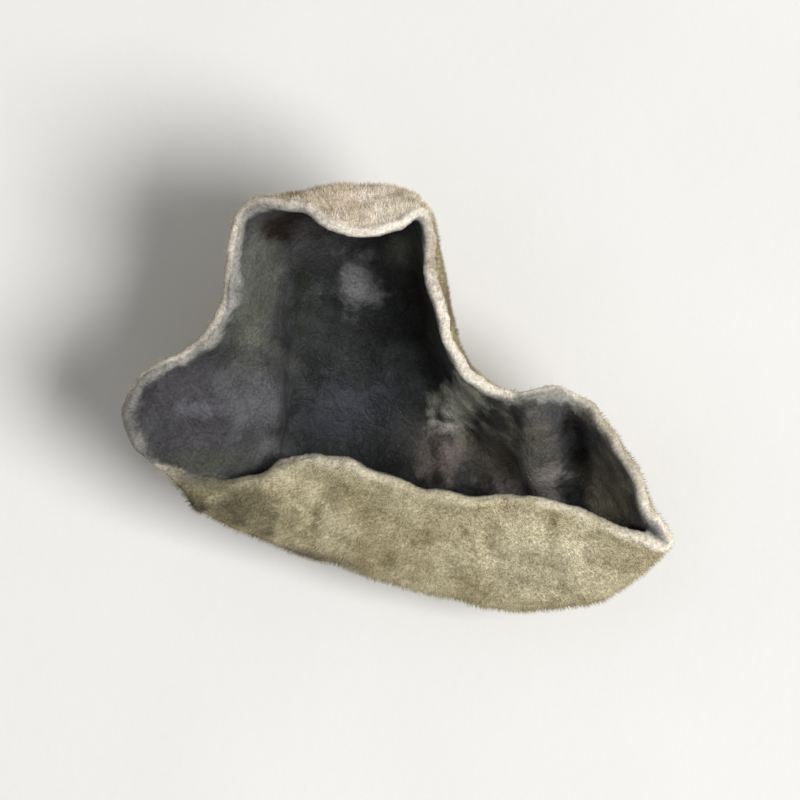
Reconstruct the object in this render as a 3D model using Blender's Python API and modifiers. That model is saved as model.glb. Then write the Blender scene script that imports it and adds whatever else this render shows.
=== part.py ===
"""Dried wood ear mushroom: one cupped, lobed sheet of fungus that rests on its cut-off attachment stub.

The sheet is modelled on its middle surface and then given its wall. Spokes run from the floor of the cup
out to its margin. Each spoke passes through a wall point, where the sheet turns up, and ends at the margin.
Those of the deep tongue pass through a belly point first.
Sizes below are in millimetres and are turned into metres where points are made. +Y runs from the incurved front
wall to the tongue at the back, and +X runs to the pointed lobe. The model's origin is the middle of the stub's
flat cut, so every point is counted from CUT_CENTRE.
"""

import math
from typing import NamedTuple

import bmesh
import bpy
from mathutils import Vector

MM = 0.001
PLACES = 4  # decimals to which a share of the turn is rounded

# Driving dimensions, in millimetres
WALL_THICKNESS = 0.42
FLOOR_CENTRE = Vector((-0.5, 0.05, 0.65))
FLOOR_HALF_LENGTH = 2.3  # along X
FLOOR_HALF_WIDTH = 1.35  # along Y
FLOOR_RISE = 0.3  # the floor's edge stands this far above its middle
CUT_CENTRE = Vector((0.1, 0.5, 0.0))
CUT_HALF_LENGTH = 1.95
CUT_HALF_WIDTH = 1.55
NECK_SHARE = 1.04  # how wide the stub is halfway down, as a share of what a straight side would make it
LIP_OVERSHOOT = 0.5  # how far past the margin a spoke's curve aims, as a share of its upper part

# Fineness
GRID_SIDE = 8  # cells along one side of the floor grid, so it has four times as many edge points
WALL_ROWS = 4
LIP_ROWS = 4
FITTING_ROUNDS = 1


class Spoke(NamedTuple):
    """One line up the wall of the cup.

    It leaves the floor, passes its belly if it has one, turns up at its wall point and ends on the margin.
    """

    wall: tuple[float, float, float]
    margin: tuple[float, float, float]
    belly: tuple[float, float, float] | None = None


POINTED_LOBE = (
    Spoke(wall=(5.6, -2.35, 2.2), margin=(6.85, -2.35, 3.8)),
    Spoke(wall=(5.4, -1.75, 2.2), margin=(6.25, -1.3, 4.4)),
    Spoke(wall=(5.2, -1.25, 2.1), margin=(5.75, -0.3, 4.7)),
    Spoke(wall=(5.0, -0.9, 2.1), margin=(5.1, 0.85, 4.7)),
    Spoke(wall=(4.6, -0.7, 2.0), margin=(4.4, 1.45, 4.4)),
    Spoke(wall=(3.6, 0.05, 2.9), margin=(3.55, 1.6, 4.9)),
    Spoke(wall=(2.5, 0.65, 2.2), margin=(2.75, 1.42, 4.5)),
)
TONGUE_RIGHT_EDGE = (
    Spoke(wall=(1.6, 1.65, 2.2), margin=(1.75, 2.05, 5.0)),
    Spoke(wall=(1.05, 3.1, 2.2), margin=(1.18, 3.4, 5.6)),
    Spoke(wall=(0.72, 4.5, 2.8), margin=(0.95, 4.65, 6.1)),
    Spoke(wall=(0.5, 5.85, 4.3), margin=(0.82, 5.85, 6.5), belly=(0.35, 4.6, 2.6)),
)
TONGUE_TIP = (
    Spoke(wall=(0.0, 6.2, 5.0), margin=(0.15, 5.42, 6.8), belly=(-0.1, 4.9, 2.5)),
    Spoke(wall=(-0.85, 6.25, 5.0), margin=(-0.65, 5.22, 6.9), belly=(-0.85, 4.95, 2.5)),
    Spoke(wall=(-1.75, 6.2, 5.0), margin=(-1.5, 5.48, 6.75), belly=(-1.55, 4.9, 2.6)),
    Spoke(wall=(-2.6, 6.0, 4.9), margin=(-2.3, 6.0, 6.35), belly=(-2.15, 4.7, 2.7)),
)
TONGUE_LEFT_EDGE = (
    Spoke(wall=(-3.05, 5.3, 4.2), margin=(-3.55, 6.05, 5.9), belly=(-2.35, 4.0, 2.3)),
    Spoke(wall=(-2.9, 4.1, 3.0), margin=(-3.95, 4.85, 5.4)),
    Spoke(wall=(-2.85, 2.95, 2.6), margin=(-4.1, 3.6, 4.8)),
)
ROUND_LOBE = (
    Spoke(wall=(-3.0, 2.15, 2.7), margin=(-4.75, 2.65, 4.5)),
    Spoke(wall=(-3.1, 1.75, 2.9), margin=(-5.55, 2.25, 4.4)),
    Spoke(wall=(-3.2, 1.3, 3.1), margin=(-6.2, 1.7, 4.3)),
    Spoke(wall=(-3.5, 0.75, 3.2), margin=(-6.5, 0.85, 4.2)),
    Spoke(wall=(-4.2, -0.1, 3.3), margin=(-6.15, -0.05, 3.9), belly=(-2.9, 0.0, 3.0)),
    Spoke(wall=(-4.75, -1.05, 3.0), margin=(-5.15, -0.6, 3.7), belly=(-3.2, -0.45, 3.0)),
)
FRONT_WALL = (
    Spoke(wall=(-3.9, -1.6, 2.6), margin=(-3.95, -0.7, 3.7), belly=(-2.9, -0.9, 2.5)),
    Spoke(wall=(-2.9, -2.0, 2.2), margin=(-2.95, -0.4, 3.95)),
    Spoke(wall=(-1.9, -2.35, 1.9), margin=(-2.1, 0.0, 4.3)),
    Spoke(wall=(-0.8, -2.7, 1.9), margin=(-0.9, -0.25, 4.7)),
    Spoke(wall=(0.5, -3.1, 1.9), margin=(0.6, -0.85, 4.8)),
    Spoke(wall=(1.9, -3.45, 1.9), margin=(2.05, -1.05, 4.7)),
    Spoke(wall=(3.55, -3.7, 1.9), margin=(3.5, -1.1, 4.6)),
    Spoke(wall=(4.95, -3.3, 2.0), margin=(5.1, -1.65, 4.3)),
)
SPOKES = POINTED_LOBE + TONGUE_RIGHT_EDGE + TONGUE_TIP + TONGUE_LEFT_EDGE + ROUND_LOBE + FRONT_WALL

FELT_COLOUR = (0.34, 0.29, 0.19, 1.0)
FELT_ROUGHNESS = 0.95


def clear_scene() -> None:
    """Removes whatever objects the scene holds."""
    for old in list(bpy.data.objects):
        bpy.data.objects.remove(old, do_unlink=True)


def new_collection(name: str) -> bpy.types.Collection:
    """Adds a collection to the scene and returns it."""
    collection = bpy.data.collections.new(name)
    bpy.context.scene.collection.children.link(collection)
    return collection


def between(before: Vector, start: Vector, end: Vector, after: Vector, share: float) -> Vector:
    """A point on the smooth curve from start to end that also heads from before and on to after."""
    start_slope = (end - before) * 0.5
    end_slope = (after - start) * 0.5
    squared = share * share
    cubed = squared * share
    return (
        start * (2 * cubed - 3 * squared + 1)
        + start_slope * (cubed - 2 * squared + share)
        + end * (3 * squared - 2 * cubed)
        + end_slope * (cubed - squared)
    )


def walk(before: Vector, start: Vector, end: Vector, after: Vector, steps: int) -> list[Vector]:
    """The points of that curve at even steps after its start, up to its end."""
    return [between(before, start, end, after, (step + 1) / steps) for step in range(steps)]


def heading(spoke: Spoke) -> float:
    """The direction of a spoke's wall point from the middle of the floor, in radians anticlockwise from +X."""
    outward = Vector(spoke.wall) - FLOOR_CENTRE
    return math.atan2(outward.y, outward.x)


def foot_angle(index: int) -> float:
    """Where round the floor a spoke starts: halfway between its own heading and its even share of the turn."""
    turn = 2 * math.pi
    even = heading(SPOKES[0]) + turn * index / len(SPOKES)
    off = (heading(SPOKES[index]) - even + math.pi) % turn - math.pi
    return even + off / 2


def floor_edge(index: int) -> Vector:
    """Where a spoke leaves the oval floor."""
    angle = foot_angle(index)
    across = Vector((math.cos(angle) * FLOOR_HALF_LENGTH, math.sin(angle) * FLOOR_HALF_WIDTH, FLOOR_RISE))
    return FLOOR_CENTRE + across


def cut_edge(index: int) -> Vector:
    """The point on the edge of the stub's flat cut that lies below a spoke's start."""
    angle = foot_angle(index)
    return CUT_CENTRE + Vector((math.cos(angle) * CUT_HALF_LENGTH, math.sin(angle) * CUT_HALF_WIDTH, 0.0))


def neck(index: int) -> Vector:
    """The point halfway down the stub's side, which is drawn in towards its middle."""
    middle = (FLOOR_CENTRE + CUT_CENTRE) / 2
    straight = (floor_edge(index) + cut_edge(index)) / 2
    drawn_in = middle.lerp(straight, NECK_SHARE)
    drawn_in.z = straight.z
    return drawn_in


def spoke_rows(index: int) -> list[Vector]:
    """The points up one spoke, from just past the floor's edge to the margin."""
    foot = floor_edge(index)
    spoke = SPOKES[index]
    wall = Vector(spoke.wall)
    margin = Vector(spoke.margin)
    beyond = margin + (margin - wall) * LIP_OVERSHOOT
    if spoke.belly is None:
        return walk(FLOOR_CENTRE, foot, wall, margin, WALL_ROWS) + walk(foot, wall, margin, beyond, LIP_ROWS)
    belly = Vector(spoke.belly)
    half = WALL_ROWS // 2
    lower = walk(FLOOR_CENTRE, foot, belly, wall, half) + walk(foot, belly, wall, margin, half)
    return lower + walk(belly, wall, margin, beyond, LIP_ROWS)


def turn_share(u: float, v: float) -> float:
    """How far round a square a point lies, as a share of the way anticlockwise from the middle of its +X side."""
    reach = max(abs(u), abs(v))
    if abs(u) >= abs(v):
        side = v / reach if u > 0 else 4 - v / reach
    else:
        side = 2 - u / reach if v > 0 else 6 + u / reach
    return side / 8 % 1


def floor_place(u: float, v: float) -> Vector:
    """Where a point of the square floor grid, with u and v from -1 to 1, lies on the rounded floor."""
    reach = max(abs(u), abs(v))
    if reach == 0:
        return FLOOR_CENTRE.copy()
    position = round(turn_share(u, v) * len(SPOKES), PLACES)
    whole = math.floor(position)
    edge = floor_edge(whole % len(SPOKES))
    edge = edge.lerp(floor_edge((whole + 1) % len(SPOKES)), position - whole)
    place = FLOOR_CENTRE.lerp(edge, reach)
    place.z = FLOOR_CENTRE.z + FLOOR_RISE * reach * reach
    return place


def draw_out(cage: bmesh.types.BMesh, ring: list, places: list[Vector]) -> list:
    """Extrudes the cage's open edge, moves each new point to its place and returns the new ring of points."""
    open_edges = [edge for edge in cage.edges if edge.is_boundary]
    extruded = bmesh.ops.extrude_edge_only(cage, edges=open_edges)["geom"]
    new_points = {item for item in extruded if isinstance(item, bmesh.types.BMVert)}
    drawn = []
    for point, place in zip(ring, places):
        twin = next(edge.other_vert(point) for edge in point.link_edges if edge.other_vert(point) in new_points)
        twin.co = (place - CUT_CENTRE) * MM
        drawn.append(twin)
    return drawn


def lay_floor() -> tuple[bmesh.types.BMesh, list]:
    """The floor of the cup as a grid on the middle surface, and the ring of points round its edge."""
    floor = bmesh.new()
    bmesh.ops.create_grid(floor, x_segments=GRID_SIDE, y_segments=GRID_SIDE, size=1.0)
    ring = [point for point in floor.verts if point.is_boundary]
    ring.sort(key=lambda point: round(turn_share(point.co.x, point.co.y), PLACES))
    for point in floor.verts:
        point.co = (floor_place(point.co.x, point.co.y) - CUT_CENTRE) * MM
    return floor, ring


def as_object(shape: bmesh.types.BMesh, name: str, collection: bpy.types.Collection) -> bpy.types.Object:
    """Turns a shape's faces outwards and makes it an object."""
    bmesh.ops.recalc_face_normals(shape, faces=shape.faces[:])
    mesh = bpy.data.meshes.new(name)
    shape.to_mesh(mesh)
    shape.free()
    piece = bpy.data.objects.new(name, mesh)
    collection.objects.link(piece)
    return piece


def make_cage(collection: bpy.types.Collection) -> bpy.types.Object:
    """The coarse cage of the sheet: the floor, with rows drawn out of its edge along the spokes."""
    cage, ring = lay_floor()
    rows = [spoke_rows(index) for index in range(len(SPOKES))]
    for row in range(WALL_ROWS + LIP_ROWS):
        ring = draw_out(cage, ring, [points[row] for points in rows])
    return as_object(cage, "fruit_body", collection)


def round_the_sheet(body: bpy.types.Object) -> None:
    """Subdivides the cage, and swells the cage until the smooth sheet passes through the points it was drawn with."""
    smooth = body.modifiers.new("smooth sheet", "SUBSURF")
    smooth.levels = 1
    smooth.render_levels = 1
    drawn = [point.co.copy() for point in body.data.vertices]
    for _ in range(FITTING_ROUNDS):
        bpy.context.view_layer.update()
        rounded = body.evaluated_get(bpy.context.evaluated_depsgraph_get()).data
        misses = [place - rounded.vertices[index].co for index, place in enumerate(drawn)]
        for point, miss in zip(body.data.vertices, misses):
            point.co += miss
        body.data.update()


def give_wall(body: bpy.types.Object) -> None:
    """Gives the sheet its thickness, half to each side of the surface it was drawn on."""
    wall = body.modifiers.new("wall", "SOLIDIFY")
    wall.thickness = WALL_THICKNESS * MM
    wall.offset = 0.0
    wall.use_rim = True


def make_stub(collection: bpy.types.Collection) -> bpy.types.Object:
    """The stub that held the mushroom to its wood: it is drawn down from the floor and cut flat at its foot."""
    stub, ring = lay_floor()
    indices = range(len(SPOKES))
    for places in ([neck(index) for index in indices], [cut_edge(index) for index in indices]):
        ring = draw_out(stub, ring, places)
    bmesh.ops.edgeloop_fill(stub, edges=[edge for edge in stub.edges if edge.is_boundary])
    piece = as_object(stub, "stub", collection)
    piece.hide_render = True
    piece.display_type = "WIRE"
    return piece


def join_stub(body: bpy.types.Object, stub: bpy.types.Object) -> None:
    """Grows the stub onto the outer face, under the floor of the cup."""
    joint = body.modifiers.new("attachment stub", "BOOLEAN")
    joint.operation = "UNION"
    joint.solver = "EXACT"
    joint.object = stub


def give_felt(body: bpy.types.Object) -> None:
    """Dresses the body in the dull olive tan of its felted outer face."""
    felt = bpy.data.materials.new("felted skin")
    felt.use_nodes = True
    skin = felt.node_tree.nodes["Principled BSDF"]
    skin.inputs["Base Color"].default_value = FELT_COLOUR
    skin.inputs["Roughness"].default_value = FELT_ROUGHNESS
    skin.inputs["Metallic"].default_value = 0.0
    body.data.materials.append(felt)
    body.data.shade_smooth()


def main() -> None:
    """Builds the mushroom."""
    clear_scene()
    mushroom = new_collection("dried wood ear mushroom")
    helpers = new_collection("helpers")
    body = make_cage(mushroom)
    round_the_sheet(body)
    give_wall(body)
    join_stub(body, make_stub(helpers))
    give_felt(body)


main()
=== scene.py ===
"""Looks of one dried wood ear mushroom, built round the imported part.

The mushroom grew as one cupped, lobed sheet, so it is one skin here too: felted and tan outside, smooth and
slate grey inside. The skin is modelled at one unit to the millimetre, which is how its sizes below are given,
and is brought down to metres before it is dressed.
"""

import logging
import math
from collections.abc import Iterator
from contextlib import contextmanager
from dataclasses import dataclass, field
from enum import Enum
from typing import NamedTuple

import bmesh
import bpy
import numpy as np
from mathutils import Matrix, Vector, noise
from mathutils.bvhtree import BVHTree
from mathutils.kdtree import KDTree


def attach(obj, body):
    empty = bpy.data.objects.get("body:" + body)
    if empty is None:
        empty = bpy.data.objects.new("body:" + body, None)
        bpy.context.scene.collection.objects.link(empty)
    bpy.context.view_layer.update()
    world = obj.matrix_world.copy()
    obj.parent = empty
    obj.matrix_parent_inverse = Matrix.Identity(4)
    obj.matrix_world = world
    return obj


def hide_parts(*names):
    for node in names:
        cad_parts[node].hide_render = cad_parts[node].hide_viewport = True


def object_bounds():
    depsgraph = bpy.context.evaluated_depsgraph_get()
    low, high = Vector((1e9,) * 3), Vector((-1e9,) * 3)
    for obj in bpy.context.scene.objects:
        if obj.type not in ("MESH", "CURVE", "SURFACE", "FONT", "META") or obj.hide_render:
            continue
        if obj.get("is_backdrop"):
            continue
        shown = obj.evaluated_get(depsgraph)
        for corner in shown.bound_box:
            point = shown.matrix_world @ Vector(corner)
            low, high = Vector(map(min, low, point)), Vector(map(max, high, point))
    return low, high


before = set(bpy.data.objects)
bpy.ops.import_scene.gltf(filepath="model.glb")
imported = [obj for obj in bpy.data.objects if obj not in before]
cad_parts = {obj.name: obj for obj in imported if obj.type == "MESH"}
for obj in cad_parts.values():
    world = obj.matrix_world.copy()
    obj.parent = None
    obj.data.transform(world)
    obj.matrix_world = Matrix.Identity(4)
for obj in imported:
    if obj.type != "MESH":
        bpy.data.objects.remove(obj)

MM = 0.001
TURN = 2 * math.pi
TINY = 1e-9
BODY = "root"
NODE = "fruit_body"
CUT_CENTRE = Vector((0.1, 0.5, 0.0))

# Attributes that the skin carries for its material
TO_MARGIN = "to_margin"
INNER = "inner"
RAISED = "raised"
HAIRY = "hairy"
TONE = "tone"
CUT = "cut"

# The name of the UV map laid out for baking a piece's colours
BAKE_MAP = "OFBake"

log = logging.getLogger("wood_ear")

Piece = bpy.types.Object
Socket = bpy.types.NodeSocket
Colour = tuple[float, float, float]
Place = tuple[float, float, float]
Bounds = tuple[float, float]
Spread = tuple[float, float, float, float]


class Spoke(NamedTuple):
    """One line up the wall of the cup, in millimetres.

    It leaves the floor, passes its belly if it has one, turns up at its wall point and ends on the margin.
    """

    wall: Place
    margin: Place
    belly: Place | None = None


POINTED_LOBE = (
    Spoke(wall=(5.6, -2.35, 2.2), margin=(6.85, -2.35, 3.8)),
    Spoke(wall=(5.4, -1.75, 2.2), margin=(6.25, -1.3, 4.4)),
    Spoke(wall=(5.2, -1.25, 2.1), margin=(5.75, -0.3, 4.7)),
    Spoke(wall=(5.0, -0.9, 2.1), margin=(5.1, 0.85, 4.7)),
    Spoke(wall=(4.6, -0.7, 2.0), margin=(4.4, 1.45, 4.4)),
    Spoke(wall=(3.6, 0.05, 2.9), margin=(3.55, 1.6, 4.9)),
    Spoke(wall=(2.5, 0.65, 2.2), margin=(2.75, 1.42, 4.5)),
)
TONGUE_RIGHT_EDGE = (
    Spoke(wall=(1.6, 1.65, 2.2), margin=(1.75, 2.05, 5.0)),
    Spoke(wall=(1.05, 3.1, 2.2), margin=(1.18, 3.4, 5.6)),
    Spoke(wall=(0.72, 4.5, 2.8), margin=(0.95, 4.65, 6.1)),
    Spoke(wall=(0.5, 5.85, 4.3), margin=(0.82, 5.85, 6.5), belly=(0.35, 4.6, 2.6)),
)
TONGUE_TIP = (
    Spoke(wall=(0.0, 6.2, 5.0), margin=(0.15, 5.42, 6.8), belly=(-0.1, 4.9, 2.5)),
    Spoke(wall=(-0.85, 6.25, 5.0), margin=(-0.65, 5.22, 6.9), belly=(-0.85, 4.95, 2.5)),
    Spoke(wall=(-1.75, 6.2, 5.0), margin=(-1.5, 5.48, 6.75), belly=(-1.55, 4.9, 2.6)),
    Spoke(wall=(-2.6, 6.0, 4.9), margin=(-2.3, 6.0, 6.35), belly=(-2.15, 4.7, 2.7)),
)
TONGUE_LEFT_EDGE = (
    Spoke(wall=(-3.05, 5.3, 4.2), margin=(-3.55, 6.05, 5.9), belly=(-2.35, 4.0, 2.3)),
    Spoke(wall=(-2.9, 4.1, 3.0), margin=(-3.95, 4.85, 5.4)),
    Spoke(wall=(-2.85, 2.95, 2.6), margin=(-4.1, 3.6, 4.8)),
)
ROUND_LOBE = (
    Spoke(wall=(-3.0, 2.15, 2.7), margin=(-4.75, 2.65, 4.5)),
    Spoke(wall=(-3.1, 1.75, 2.9), margin=(-5.55, 2.25, 4.4)),
    Spoke(wall=(-3.2, 1.3, 3.1), margin=(-6.2, 1.7, 4.3)),
    Spoke(wall=(-3.5, 0.75, 3.2), margin=(-6.5, 0.85, 4.2)),
    Spoke(wall=(-4.2, -0.1, 3.3), margin=(-6.15, -0.05, 3.9), belly=(-2.9, 0.0, 3.0)),
    Spoke(wall=(-4.75, -1.05, 3.0), margin=(-5.15, -0.6, 3.7), belly=(-3.2, -0.45, 3.0)),
)
FRONT_WALL = (
    Spoke(wall=(-3.9, -1.6, 2.6), margin=(-3.95, -0.7, 3.7), belly=(-2.9, -0.9, 2.5)),
    Spoke(wall=(-2.9, -2.0, 2.2), margin=(-2.95, -0.4, 3.95)),
    Spoke(wall=(-1.9, -2.35, 1.9), margin=(-2.1, 0.0, 4.3)),
    Spoke(wall=(-0.8, -2.7, 1.9), margin=(-0.9, -0.25, 4.7)),
    Spoke(wall=(0.5, -3.1, 1.9), margin=(0.6, -0.85, 4.8)),
    Spoke(wall=(1.9, -3.45, 1.9), margin=(2.05, -1.05, 4.7)),
    Spoke(wall=(3.55, -3.7, 1.9), margin=(3.5, -1.1, 4.6)),
    Spoke(wall=(4.95, -3.3, 2.0), margin=(5.1, -1.65, 4.3)),
)
SPOKES = POINTED_LOBE + TONGUE_RIGHT_EDGE + TONGUE_TIP + TONGUE_LEFT_EDGE + ROUND_LOBE + FRONT_WALL


def pick_only(piece: Piece) -> None:
    """Deselects everything, then selects one piece and makes it active.

    Args:
        piece: The object that the next operator acts on.
    """
    bpy.ops.object.select_all(action="DESELECT")
    piece.select_set(True)
    bpy.context.view_layer.objects.active = piece


@contextmanager
def editing(piece: Piece, picked: str) -> Iterator[None]:
    """Opens one piece in edit mode, and closes it again afterwards.

    Args:
        piece: The mesh object to edit.
        picked: What is picked there, by Blender's name: VERT, EDGE or FACE.
    """
    pick_only(piece)
    bpy.ops.object.mode_set(mode="EDIT")
    bpy.ops.mesh.select_mode(type=picked)
    yield
    bpy.ops.object.mode_set(mode="OBJECT")


def apply_modifier(piece: Piece, kind: str, name: str, **settings: object) -> None:
    """Adds one modifier to a piece and applies it at once.

    Args:
        piece: The object to change.
        kind: Blender's name for the modifier.
        name: What the modifier does here.
        **settings: Its settings by their own names.
    """
    modifier = piece.modifiers.new(name, kind)
    for setting, value in settings.items():
        setattr(modifier, setting, value)
    pick_only(piece)
    bpy.ops.object.modifier_apply(modifier=modifier.name)


def vectors_of(piece: Piece, name: str) -> np.ndarray:
    """The vectors that a piece's points hold.

    Args:
        piece: The mesh object.
        name: Blender's name for them.

    Returns:
        The vectors, one row each.
    """
    vectors = np.empty(len(piece.data.vertices) * 3)
    piece.data.vertices.foreach_get(name, vectors)
    return vectors.reshape(-1, 3)


def points_of(piece: Piece) -> np.ndarray:
    """The places of a piece's points, one row each."""
    return vectors_of(piece, "co")


def normals_of(piece: Piece) -> np.ndarray:
    """The directions in which a piece's points face, one row each."""
    return vectors_of(piece, "normal")


def move_points(piece: Piece, points: np.ndarray) -> None:
    """Puts a piece's points at new places.

    Args:
        piece: The mesh object to change.
        points: The new places, one row each.
    """
    piece.data.vertices.foreach_set("co", np.ravel(points))
    piece.data.update()


def write_on(piece: Piece, name: str, values: np.ndarray) -> None:
    """Stores one number for each point of a piece, for its material to read.

    Args:
        piece: The mesh object.
        name: The attribute's name.
        values: One number for each point.
    """
    attribute = piece.data.attributes.new(name, "FLOAT", "POINT")
    attribute.data.foreach_set("value", np.ascontiguousarray(values))


def stray_points(piece: Piece, marked: np.ndarray) -> np.ndarray:
    """Finds the marked points that don't hang together with most of them.

    Args:
        piece: The mesh object, whose edges join its points.
        marked: Whether each point is marked.

    Returns:
        Whether each point is marked and lies outside the largest stretch of marked points.
    """
    joined = [[] for _ in marked]
    for edge in piece.data.edges:
        first, second = edge.vertices
        if marked[first] and marked[second]:
            joined[first].append(second)
            joined[second].append(first)
    stretch = np.full(len(marked), -1)
    sizes = []
    for start in np.flatnonzero(marked):
        if stretch[start] >= 0:
            continue
        number = len(sizes)
        stretch[start] = number
        waiting = [start]
        sizes.append(0)
        while waiting:
            here = waiting.pop()
            sizes[number] += 1
            for other in joined[here]:
                if stretch[other] < 0:
                    stretch[other] = number
                    waiting.append(other)
    return marked & (stretch != int(np.argmax(sizes)))


def read_off(piece: Piece, name: str) -> np.ndarray:
    """The numbers that a piece's points hold.

    Args:
        piece: The mesh object.
        name: The name that they are held under.

    Returns:
        One number for each point.
    """
    values = np.empty(len(piece.data.vertices))
    piece.data.attributes[name].data.foreach_get("value", values)
    return values


def weigh(piece: Piece, name: str, weights: np.ndarray) -> None:
    """Gives a piece a vertex group with a weight for each point.

    Args:
        piece: The mesh object.
        name: The group's name.
        weights: Numbers from 0 to 1, one for each point.
    """
    group = piece.vertex_groups.new(name=name)
    for index, weight in enumerate(weights.tolist()):
        group.add((index,), weight, "REPLACE")


def ease(values: np.ndarray, low: float, high: float) -> np.ndarray:
    """How far values have come from low to high, from 0 to 1, starting and ending gently."""
    share = np.clip((values - low) / (high - low), 0.0, 1.0)
    return share * share * (3.0 - 2.0 * share)


def beside_cut(points: np.ndarray) -> np.ndarray:
    """How far points lie from the upright line through the middle of the cut."""
    return np.hypot(points[:, 0] - CUT_CENTRE.x, points[:, 1] - CUT_CENTRE.y)


def between(before: Vector, start: Vector, end: Vector, after: Vector, share: float) -> Vector:
    """A point on the smooth curve from start to end that also heads from before and on to after.

    Args:
        before: The point before start.
        start: Where the curve starts.
        end: Where the curve ends.
        after: The point after end.
        share: How far along the curve, from 0 to 1.

    Returns:
        The point.
    """
    start_slope = (end - before) * 0.5
    end_slope = (after - start) * 0.5
    squared = share * share
    cubed = squared * share
    return (
        start * (2 * cubed - 3 * squared + 1)
        + start_slope * (cubed - 2 * squared + share)
        + end * (3 * squared - 2 * cubed)
        + end_slope * (cubed - squared)
    )


def walk(before: Vector, start: Vector, end: Vector, after: Vector, steps: int) -> list[Vector]:
    """The points of a smooth curve at even steps after its start, up to its end; see between."""
    return [between(before, start, end, after, (step + 1) / steps) for step in range(steps)]


def turn_share(u: float, v: float) -> float:
    """How far round a square a point lies.

    Args:
        u: Its place along X, with the middle of the square at zero.
        v: Its place along Y.

    Returns:
        The share of the way, anticlockwise from the middle of the +X side.
    """
    reach = max(abs(u), abs(v))
    if abs(u) >= abs(v):
        side = v / reach if u > 0 else 4 - v / reach
    else:
        side = 2 - u / reach if v > 0 else 6 + u / reach
    return side / 8 % 1


def select_open_edge(piece: Piece) -> None:
    """Selects only the open edge of a piece.

    Args:
        piece: The piece, which is in edit mode.
    """
    shape = bmesh.from_edit_mesh(piece.data)
    for edge in shape.edges:
        edge.select_set(False)
    for edge in shape.edges:
        if edge.is_boundary:
            edge.select_set(True)


def draw_rows(piece: Piece, ring: list[int], rows: list[list[Vector]]) -> None:
    """Extrudes a surface's open edge row by row, and puts the points of each new row at their places.

    Args:
        piece: The open surface.
        ring: The indices of the points round its open edge, in order.
        rows: For each new row, the place of every point, in the order of the ring.
    """
    with editing(piece, "EDGE"):
        for places in rows:
            select_open_edge(piece)
            bpy.ops.mesh.extrude_edges_move()
            shape = bmesh.from_edit_mesh(piece.data)
            shape.verts.ensure_lookup_table()
            shape.verts.index_update()
            drawn = []
            for foot, place in zip([shape.verts[index] for index in ring], places):
                neighbours = (edge.other_vert(foot) for edge in foot.link_edges)
                twin = next(other for other in neighbours if other.select)
                twin.co = place
                drawn.append(twin.index)
            ring = drawn
            bmesh.update_edit_mesh(piece.data)
        bpy.ops.mesh.select_all(action="SELECT")
        bpy.ops.mesh.normals_make_consistent(inside=False)


def pass_through_cage(piece: Piece) -> None:
    """Swells a cage until the smooth sheet made from it passes close to the points it was drawn with.

    Args:
        piece: The cage, before it is smoothed.
    """
    drawn = points_of(piece)
    smooth = piece.modifiers.new("trial", "SUBSURF")
    smooth.levels = 1
    bpy.context.view_layer.update()
    rounded = piece.evaluated_get(bpy.context.evaluated_depsgraph_get()).data
    misses = [place - np.array(rounded.vertices[index].co) for index, place in enumerate(drawn)]
    piece.modifiers.remove(smooth)
    move_points(piece, drawn + np.array(misses))


@dataclass(frozen=True)
class Wiring:
    """A node tree as it is put together node by node."""

    tree: bpy.types.NodeTree

    def add(self, kind: str, settings: dict[str, object] | None = None, **inputs: object) -> bpy.types.Node:
        """Adds a node.

        Args:
            kind: Blender's name for the node.
            settings: The node's own settings.
            **inputs: A value or another node's output for each input, with _ for a space in its name.

        Returns:
            The node.
        """
        made = self.tree.nodes.new(kind)
        for setting, value in (settings or {}).items():
            setattr(made, setting, value)
        self.supply(made, **inputs)
        return made

    def supply(self, node: bpy.types.Node, **inputs: object) -> None:
        """Gives each named input a value or another node's output, with _ for a space in its name."""
        for name, value in inputs.items():
            self.feed(node.inputs[name.replace("_", " ")], value)

    def feed(self, socket: Socket, value: object) -> None:
        """Links an output to a socket, or sets the socket's own value.

        Args:
            socket: The input.
            value: The output, or the value.
        """
        if isinstance(value, Socket):
            self.tree.links.new(value, socket)
        elif socket.type == "RGBA" and len(value) == 3:
            socket.default_value = (*value, 1.0)
        else:
            socket.default_value = value

    def join(self, kind: str, how: str, first: object, second: object) -> Socket:
        """Adds a Math or Vector Math node that joins two values.

        Args:
            kind: Which of the two nodes.
            how: Blender's name for what it does.
            first: Its first value.
            second: Its second value.

        Returns:
            Its result.
        """
        made = self.add(kind, {"operation": how})
        self.feed(made.inputs[0], first)
        self.feed(made.inputs["Scale"] if how == "SCALE" else made.inputs[1], second)
        return next(socket for socket in made.outputs if socket.enabled)


class Side(Enum):
    """The two faces of the sheet, by the name of the vertex group that holds each."""

    OUTER = "outer face"
    INNER = "inner face"
    BOTH = ""


class Pattern(Enum):
    """The patterns of unevenness that a dried sheet shows, by the texture that makes each."""

    LUMPS = "CLOUDS"
    PUCKERS = "STUCCI"


@dataclass(frozen=True)
class Relief:
    """One scale of unevenness, pressed into one face of the sheet. Sizes in millimetres."""

    name: str
    pattern: Pattern
    grain: float
    height: float
    side: Side
    depth: int = 2

    def press_into(self, piece: Piece) -> None:
        """Displaces the piece's points on this relief's side.

        Args:
            piece: The mesh object, with a vertex group for the side.
        """
        texture = bpy.data.textures.new(self.name, self.pattern.value)
        texture.noise_scale = self.grain
        if self.pattern is Pattern.LUMPS:
            texture.noise_depth = self.depth
        apply_modifier(
            piece,
            "DISPLACE",
            self.name,
            texture=texture,
            texture_coords="LOCAL",
            strength=self.height,
            mid_level=0.5,
            vertex_group=self.side.value,
        )
        bpy.data.textures.remove(texture)


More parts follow.
